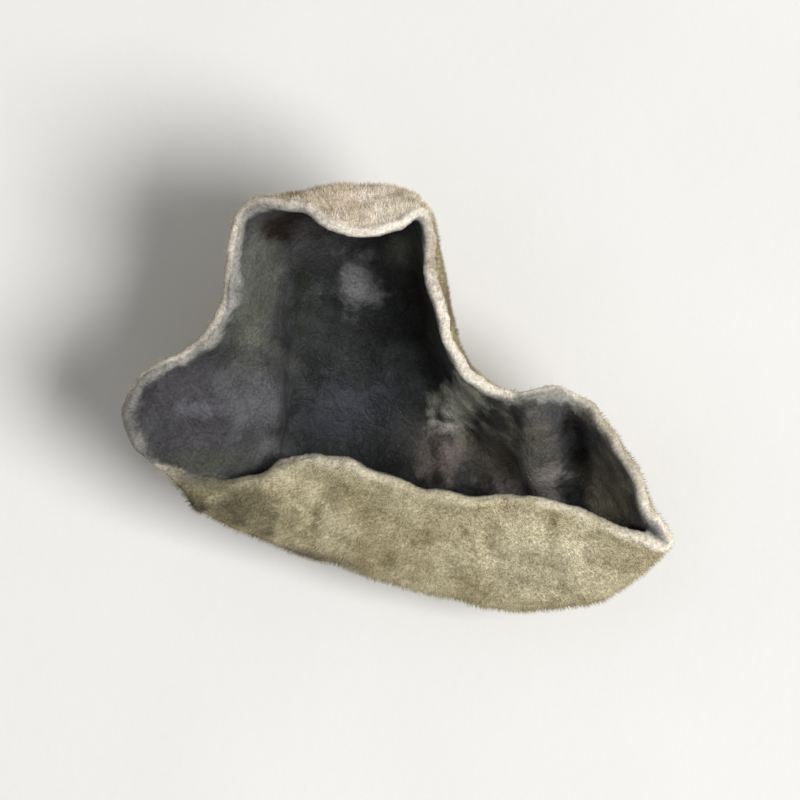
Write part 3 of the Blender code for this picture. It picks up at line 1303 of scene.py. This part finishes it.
@dataclass(frozen=True)
class Recipe(Wiring):
    """A material as it is put together. Patterns are laid out in Object coordinates, in metres."""

    material: bpy.types.Material

    @classmethod
    def begin(cls, name: str) -> "Recipe":
        """Starts a material with one Principled shader.

        Args:
            name: The material's name.

        Returns:
            The recipe for it.
        """
        material = bpy.data.materials.new(name)
        material.use_nodes = True
        return cls(material.node_tree, material)

    @property
    def skin(self) -> bpy.types.Node:
        """The Principled shader."""
        return self.material.node_tree.nodes["Principled BSDF"]

    def wear(self, **inputs: object) -> None:
        """Gives the Principled shader its inputs; see supply."""
        self.supply(self.skin, **inputs)

    def node(self, kind: str, settings: dict[str, object] | None = None, **inputs: object) -> bpy.types.Node:
        """Adds a shader node, by Blender's name without ShaderNode in front; see add."""
        return self.add("ShaderNode" + kind, settings, **inputs)

    def place(self) -> Socket:
        """Where on the object a point lies."""
        return self.node("TexCoord").outputs["Object"]

    def reading(self, name: str) -> Socket:
        """The number that the mesh carries under a name."""
        return self.node("Attribute", {"attribute_name": name}).outputs["Fac"]

    def from_middle(self, centre: Place, halves: Place, turn: float = 0.0) -> Socket:
        """How far out of the middle of an egg-shaped space a point lies, from 0 there to 1 on its surface.

        Args:
            centre: Its middle, in millimetres.
            halves: Half its length, width and height, in millimetres.
            turn: The direction of its length in degrees, anticlockwise from +X seen from above.

        Returns:
            The distance.
        """
        squeezed = self.node(
            "Mapping",
            {"vector_type": "TEXTURE"},
            Vector=self.place(),
            Location=(Vector(centre) - CUT_CENTRE) * MM,
            Rotation=(0.0, 0.0, math.radians(turn)),
            Scale=Vector(halves) * MM,
        ).outputs["Vector"]
        return self.join("ShaderNodeVectorMath", "DISTANCE", squeezed, (0.0, 0.0, 0.0))

    def mottle(self, look: Blotches) -> Socket:
        """A noise before it is spread.

        Args:
            look: How coarse and how sharp it is.

        Returns:
            The noise, from 0 to 1.
        """
        return self.node(
            "TexNoise",
            Vector=self.place(),
            Scale=1.0 / (look.grain * MM),
            Detail=look.detail,
            Roughness=look.roughness,
            Distortion=look.warp,
        ).outputs["Fac"]

    def blotches(self, look: Blotches) -> Socket:
        """A noise, spread as its look says."""
        return self.spread(self.mottle(look), look.spread)

    def veins(self, grain: float, width: float, warp: float = 0.4) -> Socket:
        """A net of fine wandering lines, 1 along their middles and 0 off them.

        Args:
            grain: The size of the net's cells, in millimetres.
            width: How broad the lines are, as a share of the noise that they follow.
            warp: How far they wander.

        Returns:
            The net.
        """
        off_middle = self.maths("SUBTRACT", self.mottle(Blotches(grain, warp=warp)), 0.5)
        return self.spread(self.maths("ABSOLUTE", off_middle, 0.0), (0.0, width, 1.0, 0.0))

    def spread(self, value: object, ranges: Spread) -> Socket:
        """Spreads one range of a value over another, gently at both ends.

        Args:
            value: The value.
            ranges: The lowest and highest that count, and what these two become.

        Returns:
            The spread value.
        """
        low, high, to_low, to_high = ranges
        return self.node(
            "MapRange",
            {"interpolation_type": "SMOOTHSTEP"},
            Value=value,
            From_Min=low,
            From_Max=high,
            To_Min=to_low,
            To_Max=to_high,
        ).outputs["Result"]

    def maths(self, operation: str, first: object, second: object) -> Socket:
        """Adds, multiplies or otherwise joins two numbers."""
        return self.join("ShaderNodeMath", operation, first, second)

    def blend(
        self, share: object, first: object, second: object, how: str = "MIX", what: Mixed = Mixed.COLOURS
    ) -> Socket:
        """Mixes two colours, numbers or directions.

        Args:
            share: How much of the second shows.
            first: The one below.
            second: The one above.
            how: Blender's name for the way of mixing.
            what: What the two are.

        Returns:
            The mixture.
        """
        kind, below, above, out = what.value
        made = self.node("Mix", {"data_type": kind, "blend_type": how}, Factor=share)
        self.feed(made.inputs[below], first)
        self.feed(made.inputs[above], second)
        return made.outputs[out]

    def bump(self, height: object, depth: float, below: object = None) -> Socket:
        """A normal that follows a height.

        Args:
            height: A number from 0 to 1.
            depth: How deep that range is, in millimetres.
            below: A normal that this one is laid over.

        Returns:
            The normal.
        """
        made = self.node("Bump", Height=height, Distance=depth * MM)
        if below is not None:
            self.feed(made.inputs["Normal"], below)
        return made.outputs["Normal"]


@dataclass(frozen=True)
class Patch:
    """An oval stretch of the mushroom in another colour. Patches give the mushroom's own tones, and also
    painted light and painted shade. Sizes are in millimetres, the turn in degrees.
    """

    centre: tuple[float, float]
    half_length: float
    half_width: float
    colour: Colour
    turn: float = 0.0
    strength: float = 1.0
    core: float = 0.3
    ragged: float = 0.15
    level: float = 0.0
    half_height: float = 1000.0
    ragged_grain: float = 0.6

    def lay_on(self, recipe: Recipe, colour: object) -> Socket:
        """Blends this patch over a colour, with a soft and slightly ragged edge.

        Args:
            recipe: The material it belongs to.
            colour: The colour below.

        Returns:
            The colour with the patch on it.
        """
        centre = (*self.centre, self.level)
        away = recipe.from_middle(centre, (self.half_length, self.half_width, self.half_height), self.turn)
        edge = Blotches(self.ragged_grain, (0.3, 0.7, -self.ragged, self.ragged))
        away = recipe.maths("ADD", away, recipe.blotches(edge))
        share = recipe.spread(away, (self.core, 1.0, self.strength, 0.0))
        return recipe.blend(share, colour, self.colour)


@dataclass(frozen=True)
class FungusFinish:
    """The finish of the dried fruit body: slate inside, felted tan outside, paler along its thin margin, with
    painted light and shade in patches and in its relief.
    """

    felt: Colour = (0.385, 0.335, 0.205)
    felt_pale: Colour = (0.52, 0.47, 0.325)
    felt_brown_and_shade: Colour = (0.23, 0.185, 0.105)
    margin: Colour = (0.82, 0.75, 0.65)
    inner_margin: Colour = (0.36, 0.345, 0.31)
    slate: Colour = (0.016, 0.0175, 0.0165)
    slate_high: Colour = (0.045, 0.045, 0.044)
    bloom: Colour = (0.07, 0.073, 0.075)
    stub_ring: Colour = (0.10, 0.065, 0.035)
    stub_core: Colour = (0.27, 0.19, 0.115)
    speck_dark: Colour = (0.35, 0.33, 0.28)
    speck_light: Colour = (0.85, 0.85, 0.85)
    speck_strength: float = 0.4

    # What the height, the relief, the nearness of the margin and the hair's own tone do to the colours; what
    # the height and the relief do is partly painted light and shade
    bloom_and_painted_shade_by_height: Spread = (1.6 * MM, 4.6 * MM, 0.0, 1.0)
    brown_and_painted_shade_where_sunk: Spread = (-0.06, 0.02, 0.55, 0.0)
    painted_light_and_shade_on_relief: Spread = (-0.04, 0.04, 0.75, 1.25)
    dark_along_veins: Spread = (0.0, 1.0, 1.04, 0.84)
    dark_to_rind: Spread = (0.35, 0.95, 0.0, 1.0)
    outer_rim: Spread = (0.0, 0.3, 0.85, 0.0)
    inner_rim: Spread = (0.05, 0.42, 0.75, 0.0)
    hair_tone: Spread = (0.0, 1.0, 0.8, 1.2)
    hair_roughness: Spread = (0.0, 1.0, 0.75, 0.95)

    # Noises in the colours, then in the roughness, then in the relief
    pale_areas: Blotches = Blotches(1.3, (0.35, 0.65, 0.0, 1.0))
    specks: Blotches = Blotches(0.09, detail=4.0, roughness=0.7)
    bloom_cover: Blotches = Blotches(0.9, (0.42, 0.68, 0.0, 0.35), detail=5.0, roughness=0.6)
    dust: Blotches = Blotches(0.06, (0.6, 0.72, 0.0, 0.5), detail=2.0)
    rind_edge: Blotches = Blotches(0.4, (0.3, 0.7, -0.12, 0.12))
    torn_fibres: Blotches = Blotches(0.07, (0.3, 0.7, 0.6, 1.4), detail=4.0, roughness=0.7, warp=0.6)
    rim_edge: Blotches = Blotches(0.5, (0.3, 0.7, -0.12, 0.12))
    fine_grain: Blotches = Blotches(0.07, (0.25, 0.75, 0.6, 1.4), detail=5.0, roughness=0.75)
    outer_roughness: Blotches = Blotches(0.2, (0.3, 0.7, 0.86, 0.98))
    inner_roughness: Blotches = Blotches(0.9, (0.3, 0.7, 0.5, 0.66))
    felt_bumps: Blotches = Blotches(0.06, roughness=0.7)
    skin_bumps: Blotches = Blotches(0.1, detail=5.0, roughness=0.7)
    hair_bumps: Blotches = Blotches(0.02)
    vein_grain: float = 0.6
    vein_width: float = 0.05
    vein_dent_width: float = 0.07

    # How deep the relief of the material is, in millimetres
    felt_depth: float = 0.03
    skin_depth: float = 0.022
    vein_depth: float = -0.01
    hair_depth: float = 0.002

    specular: float = 0.16
    sheen: float = 0.03
    sheen_roughness: float = 0.5
    hair_specular: float = 0.25

    inner_tones_and_painted_light_and_shade: tuple[Patch, ...] = (
        # The floor of the cup and the round lobe, with painted light on the lobe
        Patch((-1.1, 1.1), 1.9, 1.3, (0.036, 0.039, 0.050), turn=20, strength=0.8, core=0.0, ragged=0.3),
        Patch((-4.9, 1.0), 2.7, 1.8, (0.042, 0.038, 0.043), strength=0.9),
        # A narrow painted highlight along a raised edge in the lobe
        Patch((-4.7, 1.1), 1.1, 0.35, (0.09, 0.088, 0.10), turn=5, strength=0.7, core=0.0, ragged=0.3),
        # Painted light where the front wall's peak casts its shadow on the lobe
        Patch((-2.95, 0.0), 0.9, 0.55, (0.2, 0.2, 0.2), turn=20, core=0.0),
        # Painted light on the lobe's edge, which faces the key light
        Patch((-3.4, 1.3), 1.2, 1.2, (0.092, 0.09, 0.098), strength=0.8),
        Patch((-4.4, -0.2), 1.7, 0.45, (0.045, 0.047, 0.035), strength=0.8),
        # The tongue, from its left wall to its right, with the hollow under its tip; painted light on the
        # left wall and on a bump, painted shade at the wall's foot, on the right wall and in the hollow
        # Painted light on the tongue's left wall, which faces the key light
        Patch((-3.35, 3.9), 2.6, 0.8, (0.105, 0.11, 0.088), turn=83, strength=0.95),
        # Painted light further down the same lit slope
        Patch((-3.0, 2.2), 1.0, 0.5, (0.08, 0.08, 0.075), strength=0.7),
        # A painted shadow line at the foot of the lit left wall
        Patch((-2.25, 3.7), 1.6, 0.4, (0.013, 0.017, 0.011), turn=87, strength=0.9),
        # Painted shadow in the hollow under the curled tip
        Patch((-2.45, 5.5), 1.15, 0.65, (0.012, 0.006, 0.004), turn=-8, core=0.45),
        Patch((0.2, 4.8), 0.7, 0.5, (0.15, 0.15, 0.13), core=0.0, ragged=0.3),
        # Painted light on the round bump that stands up into the light
        Patch((-0.85, 4.15), 0.9, 0.85, (0.21, 0.215, 0.21), core=0.35, ragged=0.3),
        Patch((0.2, 5.1), 0.5, 0.4, (0.16, 0.16, 0.13), core=0.0),
        # Painted shade on the tongue's right inner wall, under its overhanging margin
        Patch((0.75, 3.7), 1.8, 0.45, (0.016, 0.015, 0.010), turn=-80),
        # The right end: bumps, ridge, flap and the channel between them, lightened by painted light where
        # they lie in shade, with painted shadow filling the channel
        Patch((0.8, 0.4), 1.0, 0.9, (0.06, 0.057, 0.052), core=0.0),
        # Painted light on the low ground between the bumps and the ridge
        Patch((2.6, 0.0), 1.5, 1.2, (0.17, 0.15, 0.12), core=0.1, ragged=0.3),
        # Painted light on the bump that catches the light
        Patch((1.7, 1.25), 1.1, 0.8, (0.56, 0.55, 0.46), turn=60, core=0.2, ragged=0.3),
        # A pinkish bump, lightened with painted light
        Patch((1.25, -0.2), 1.2, 0.75, (0.24, 0.20, 0.18), turn=75, core=0.0, ragged=0.3),
        # Painted light on the ridge's crest and sides
        Patch((3.4, -0.75), 1.3, 0.7, (0.27, 0.24, 0.225), core=0.0, ragged=0.3),
        Patch((3.2, -0.2), 1.2, 0.5, (0.25, 0.23, 0.20), turn=-80, core=0.1, ragged=0.3),
        Patch((3.55, 0.4), 1.4, 0.5, (0.12, 0.11, 0.09), turn=-83, core=0.1),
        # Painted light on the flap's inner face, which lies in shade
        Patch((5.3, -0.9), 1.5, 0.75, (0.22, 0.20, 0.135), turn=-60, core=0.1),
        Patch((5.3, -1.35), 0.8, 0.6, (0.36, 0.33, 0.23), turn=-50, core=0.1),
        # Painted shadow filling the deep channel
        Patch((4.45, 0.35), 1.3, 0.42, (0.006, 0.003, 0.003), turn=-77),
    )
    outer_tones_and_painted_light_and_shade: tuple[Patch, ...] = (
        # The incurved tip, then the front wall from its right end to the left, and the tongue's outside;
        # painted highlights on the tip and the front wall's right end, painted shade on the front wall's
        # lower edge and left end and on the tongue's outside
        Patch((-0.9, 6.2), 2.6, 1.3, (0.85, 0.72, 0.59), core=0.2, ragged=0.25, level=7.0, half_height=3.6),
        # A painted highlight on the tip
        Patch((0.0, 6.0), 1.2, 0.6, (0.95, 0.87, 0.73), turn=-5, ragged=0.3, level=7.0, half_height=3.6,
              core=0.2),
        # Paler cream felt with a painted highlight on the front wall's right end
        Patch((3.6, -2.6), 2.4, 1.3, (0.54, 0.495, 0.36), turn=-5, strength=0.7),
        # Painted shade, brown, on the tongue's outside
        Patch((1.5, 3.4), 2.8, 0.9, (0.19, 0.14, 0.09), turn=-68, strength=0.7, core=0.0, ragged=0.35),
        # Painted shade along the front wall's lower edge and at its left end
        Patch((-2.1, -2.85), 3.4, 0.85, (0.12, 0.10, 0.062), turn=-21, strength=0.95, core=0.15),
        Patch((-3.5, -1.3), 1.7, 1.0, (0.16, 0.145, 0.09), turn=-20, strength=0.85, core=0.1),
        Patch((-5.3, -1.5), 3.2, 1.9, (0.07, 0.06, 0.035), turn=-20, core=0.0, ragged=0.25),
    )
    inner_margin_tones_and_painted_light_and_shade: tuple[Patch, ...] = (
        Patch((-6.0, 0.6), 1.5, 2.1, (0.20, 0.19, 0.175), strength=0.8),
        # Painted shade along the inside of the front wall's margin
        Patch((1.4, -0.9), 5.2, 1.3, (0.07, 0.066, 0.055), turn=-14, strength=0.9),
        # Painted light on the inside of the flap's margin
        Patch((4.9, 0.2), 1.6, 1.1, (0.16, 0.15, 0.12), turn=-55, strength=0.8),
        # Painted shade along the inside of the front wall's margin at its left end
        Patch((-3.4, -0.6), 1.6, 0.8, (0.06, 0.06, 0.05), turn=15, strength=0.9),
        Patch((-5.0, -0.5), 1.3, 0.8, (0.05, 0.05, 0.042), turn=-18, strength=0.9),
    )
    margin_tones_and_painted_shade: tuple[Patch, ...] = (
        Patch((-2.6, 6.05), 1.0, 0.6, (0.42, 0.37, 0.32), turn=5, strength=0.7, ragged=0.3),
        Patch((-6.2, 0.6), 1.6, 2.0, (0.22, 0.20, 0.17), strength=0.9),
        Patch((1.1, 5.0), 1.4, 0.7, (0.38, 0.33, 0.26), turn=-80, strength=0.9, ragged=0.3),
        Patch((5.4, 0.1), 2.2, 1.0, (0.42, 0.38, 0.30), turn=-58, strength=0.9, ragged=0.3),
        # Painted shade on the margin at the front wall's left end
        Patch((-4.8, -0.7), 1.7, 0.95, (0.09, 0.085, 0.058), turn=-14, strength=0.95),
        Patch((-3.2, -0.5), 1.5, 0.8, (0.24, 0.21, 0.135), turn=15, strength=0.9),
        Patch((1.9, -1.1), 5.6, 1.3, (0.47, 0.42, 0.28), turn=-12, strength=0.9),
    )

    def lay_all(self, recipe: Recipe, colour: object, patches: tuple[Patch, ...]) -> Socket:
        """Lays several patches over a colour, one after the other.

        Args:
            recipe: The material they belong to.
            colour: The colour below.
            patches: The patches.

        Returns:
            The colour with the patches on it.
        """
        for patch in patches:
            colour = patch.lay_on(recipe, colour)
        return colour

    def outer_colour(self, recipe: Recipe) -> Socket:
        """The colour of the felted face: olive tan, browner and darker where it sinks, partly as painted
        shade, and paler where it stands out, with patches of painted light and shade.

        Args:
            recipe: The material it belongs to.

        Returns:
            The colour.
        """
        tan = recipe.blend(recipe.blotches(self.pale_areas), self.felt, self.felt_pale)
        tan = self.lay_all(recipe, tan, self.outer_tones_and_painted_light_and_shade)
        # Browner and darker where the relief sinks: a brown tone and painted shade in the hollows
        sunk = recipe.spread(recipe.reading(RAISED), self.brown_and_painted_shade_where_sunk)
        tan = recipe.blend(sunk, tan, self.felt_brown_and_shade)
        specks = recipe.blend(recipe.blotches(self.specks), self.speck_dark, self.speck_light)
        return recipe.blend(self.speck_strength, tan, specks, "OVERLAY")

    def inner_colour(self, recipe: Recipe) -> Socket:
        """The colour of the smooth face: dark slate under a greyish bloom that thickens up the walls; the
        darkening low in the cup is partly painted shade, and patches paint light and shade.

        Args:
            recipe: The material it belongs to.

        Returns:
            The colour.
        """
        height = recipe.node("SeparateXYZ", Vector=recipe.place()).outputs["Z"]
        # Darker low in the cup and paler up the walls: partly painted shade deep in the cup, partly a thicker
        # bloom higher up
        slate = recipe.blend(recipe.spread(height, self.bloom_and_painted_shade_by_height), self.slate, self.slate_high)
        slate = self.lay_all(recipe, slate, self.inner_tones_and_painted_light_and_shade)
        for cover in (self.bloom_cover, self.dust):
            slate = recipe.blend(recipe.blotches(cover), slate, self.bloom)
        # Paler where the relief stands out and darker where it sinks: painted light on the crests and painted
        # shade in the hollows
        raised = recipe.spread(recipe.reading(RAISED), self.painted_light_and_shade_on_relief)
        lined = recipe.spread(recipe.veins(self.vein_grain, self.vein_width), self.dark_along_veins)
        return recipe.blend(1.0, slate, recipe.maths("MULTIPLY", raised, lined), "MULTIPLY")

    def cut_colour(self, recipe: Recipe) -> Socket:
        """The colour of the cut across the stub: pale brown flesh with a darker rind and fine torn fibres.

        Args:
            recipe: The material it belongs to.

        Returns:
            The colour.
        """
        stub = Stub()
        away = recipe.from_middle(tuple(CUT_CENTRE), (stub.half_length, stub.half_width, stub.half_width))
        away = recipe.maths("ADD", away, recipe.blotches(self.rind_edge))
        flesh = recipe.blend(recipe.spread(away, self.dark_to_rind), self.stub_core, self.stub_ring)
        return recipe.blend(1.0, flesh, recipe.blotches(self.torn_fibres), "MULTIPLY")

    def outer_face(self, recipe: Recipe) -> Socket:
        """The colour of the felted face and of the pale margin that it runs into, with painted shade on the
        margin at the front wall's left end.

        Args:
            recipe: The material it belongs to.

        Returns:
            The colour.
        """
        rim = self.lay_all(recipe, self.margin, self.margin_tones_and_painted_shade)
        share = recipe.spread(recipe.reading(TO_MARGIN), self.outer_rim)
        return recipe.blend(share, self.outer_colour(recipe), rim)

    def inner_face(self, recipe: Recipe) -> Socket:
        """The colour of the smooth face, worn paler in a ragged line along the margin, with painted shade
        inside the front wall's margin and painted light inside the flap's.

        Args:
            recipe: The material it belongs to.

        Returns:
            The colour.
        """
        rim = self.lay_all(recipe, self.inner_margin, self.inner_margin_tones_and_painted_light_and_shade)
        ragged = recipe.maths("ADD", recipe.reading(TO_MARGIN), recipe.blotches(self.rim_edge))
        return recipe.blend(recipe.spread(ragged, self.inner_rim), self.inner_colour(recipe), rim)

    def make(self) -> bpy.types.Material:
        """Puts the whole material together.

        Returns:
            The material, which reads the attributes that the skin carries.
        """
        recipe = Recipe.begin("dried fungus")
        inner = recipe.reading(INNER)
        colour = recipe.blend(inner, self.outer_face(recipe), self.inner_face(recipe))
        colour = recipe.blend(1.0, colour, recipe.blotches(self.fine_grain), "MULTIPLY")
        colour = recipe.blend(recipe.reading(CUT), colour, self.cut_colour(recipe))
        rough, smooth = recipe.blotches(self.outer_roughness), recipe.blotches(self.inner_roughness)
        felt = recipe.bump(recipe.mottle(self.felt_bumps), self.felt_depth)
        veins = recipe.bump(recipe.veins(self.vein_grain, self.vein_dent_width), self.vein_depth)
        skin = recipe.bump(recipe.mottle(self.skin_bumps), self.skin_depth, below=veins)
        recipe.wear(
            Base_Color=colour,
            Roughness=recipe.blend(inner, rough, smooth, what=Mixed.NUMBERS),
            Normal=recipe.blend(inner, felt, skin, what=Mixed.DIRECTIONS),
            Specular_IOR_Level=self.specular,
            Sheen_Weight=self.sheen,
            Sheen_Roughness=self.sheen_roughness,
        )
        return recipe.material

    def make_nap(self) -> bpy.types.Material:
        """Puts together the look of the hairs, which take the colour of the face they stand on.

        Returns:
            The material, which also reads the tone that each hair carries.
        """
        recipe = Recipe.begin("felt hairs")
        tone = recipe.reading(TONE)
        shade = recipe.spread(tone, self.hair_tone)
        recipe.wear(
            Base_Color=recipe.blend(1.0, self.outer_colour(recipe), shade, "MULTIPLY"),
            Roughness=recipe.spread(tone, self.hair_roughness),
            Normal=recipe.bump(recipe.mottle(self.hair_bumps), self.hair_depth),
            Specular_IOR_Level=self.hair_specular,
        )
        return recipe.material


@dataclass(frozen=True)
class PaperFinish:
    """The finish of the studio's pale floor: matt paper with a faint, even grain."""

    paper: Colour = (0.78, 0.77, 0.75)
    shade: Colour = (0.76, 0.75, 0.73)
    clouds: Blotches = Blotches(9.0, (0.35, 0.65, 0.0, 1.0), detail=2.0)
    grain: Blotches = Blotches(0.35, (0.3, 0.7, 0.88, 0.96), detail=4.0)
    depth: float = 0.01

    def make(self) -> bpy.types.Material:
        """Puts the material together.

        Returns:
            The material.
        """
        recipe = Recipe.begin("pale paper")
        recipe.wear(
            Base_Color=recipe.blend(recipe.blotches(self.clouds), self.paper, self.shade),
            Roughness=recipe.blotches(self.grain),
            Normal=recipe.bump(recipe.mottle(self.grain), self.depth),
        )
        return recipe.material


@dataclass
class Studio:
    """The plain floor, the soft lights and the camera that looks straight down. Lengths in millimetres."""

    floor_side: float = 900.0
    frame_width: float = 19.5
    lens: float = 700.0
    sensor: float = 36.0
    sight: float = 10000.0
    key_turn: float = -18.0
    key_height: float = 55.0
    key_size: float = 130.0
    key_watts: float = 0.68
    fill_turn: float = 160.0
    fill_height: float = 60.0
    fill_size: float = 220.0
    fill_watts: float = 0.05
    light_distance: float = 250.0
    sky: float = 0.28

    def lay_floor(self) -> None:
        """Lays a flat sheet of paper on the plane of the cut."""
        bpy.ops.object.select_all(action="DESELECT")
        bpy.ops.mesh.primitive_plane_add(size=self.floor_side * MM)
        floor = bpy.context.object
        floor.name = "floor"
        floor.data.materials.append(PaperFinish().make())
        floor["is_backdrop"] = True

    def hang_light(self, name: str, turn: float, height: float, size: float, watts: float) -> None:
        """Adds a square soft light that faces the mushroom.

        Args:
            name: The light's name.
            turn: Its direction in degrees, anticlockwise from +X seen from above.
            height: How many degrees it stands above the floor.
            size: Its side.
            watts: Its power.
        """
        around, above = math.radians(turn), math.radians(height)
        flat = math.cos(above)
        towards = Vector((math.cos(around) * flat, math.sin(around) * flat, math.sin(above)))
        light = bpy.data.lights.new(name, "AREA")
        light.size = size * MM
        light.energy = watts
        lamp = bpy.data.objects.new(name, light)
        lamp.location = towards * self.light_distance * MM
        lamp.rotation_euler = towards.to_track_quat("Z", "Y").to_euler()
        bpy.context.scene.collection.objects.link(lamp)

    def set_camera(self, low: Vector, high: Vector) -> None:
        """Points the camera straight down at the middle of the mushroom, with +Y up in the picture.

        Args:
            low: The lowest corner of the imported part's box, in metres.
            high: The highest corner.
        """
        view = bpy.data.cameras.new("camera")
        view.lens = self.lens
        view.sensor_width = self.sensor
        view.clip_start = MM
        view.clip_end = self.sight * MM
        camera = bpy.data.objects.new("camera", view)
        middle = (low + high) / 2
        away = self.frame_width * self.lens / self.sensor * MM
        camera.location = (middle.x, middle.y, middle.z + away)
        bpy.context.scene.collection.objects.link(camera)
        bpy.context.scene.camera = camera

    def light_sky(self) -> None:
        """Lights the scene evenly from all round, a little, so that shadows stay open."""
        world = bpy.data.worlds.new("studio")
        world.use_nodes = True
        background = world.node_tree.nodes["Background"]
        background.inputs["Color"].default_value = (1.0, 1.0, 1.0, 1.0)
        background.inputs["Strength"].default_value = self.sky
        bpy.context.scene.world = world

    def set_up(self, low: Vector, high: Vector) -> None:
        """Makes the floor, the lights and the camera.

        Args:
            low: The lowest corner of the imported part's box, in metres.
            high: The highest corner.
        """
        self.lay_floor()
        self.hang_light("key", self.key_turn, self.key_height, self.key_size, self.key_watts)
        self.hang_light("fill", self.fill_turn, self.fill_height, self.fill_size, self.fill_watts)
        self.light_sky()
        self.set_camera(low, high)
        bpy.context.scene.view_settings.view_transform = "Standard"


def report(piece: Piece) -> None:
    """Logs a finished piece's name and its counts.

    Args:
        piece: The piece.
    """
    piece.data.calc_loop_triangles()
    points, triangles = len(piece.data.vertices), len(piece.data.loop_triangles)
    log.info("%s: %d points, %d triangles", piece.name, points, triangles)


def declare(piece: Piece, *nodes: str) -> None:
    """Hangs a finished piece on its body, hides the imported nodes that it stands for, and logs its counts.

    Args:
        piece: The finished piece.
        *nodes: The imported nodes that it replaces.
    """
    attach(piece, BODY)
    if nodes:
        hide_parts(*nodes)
    report(piece)


def main() -> None:
    """Builds the studio and the mushroom."""
    logging.basicConfig(level=logging.INFO, format="%(name)s: %(message)s")
    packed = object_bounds()
    Studio().set_up(*packed)
    skin, nap = FruitBody().build()
    finish = FungusFinish()
    for piece, look, nodes in ((skin, finish.make(), (NODE,)), (nap, finish.make_nap(), ())):
        piece.data.materials.clear()
        piece.data.materials.append(look)
        declare(piece, *nodes)


if __name__ == "__main__":
    main()
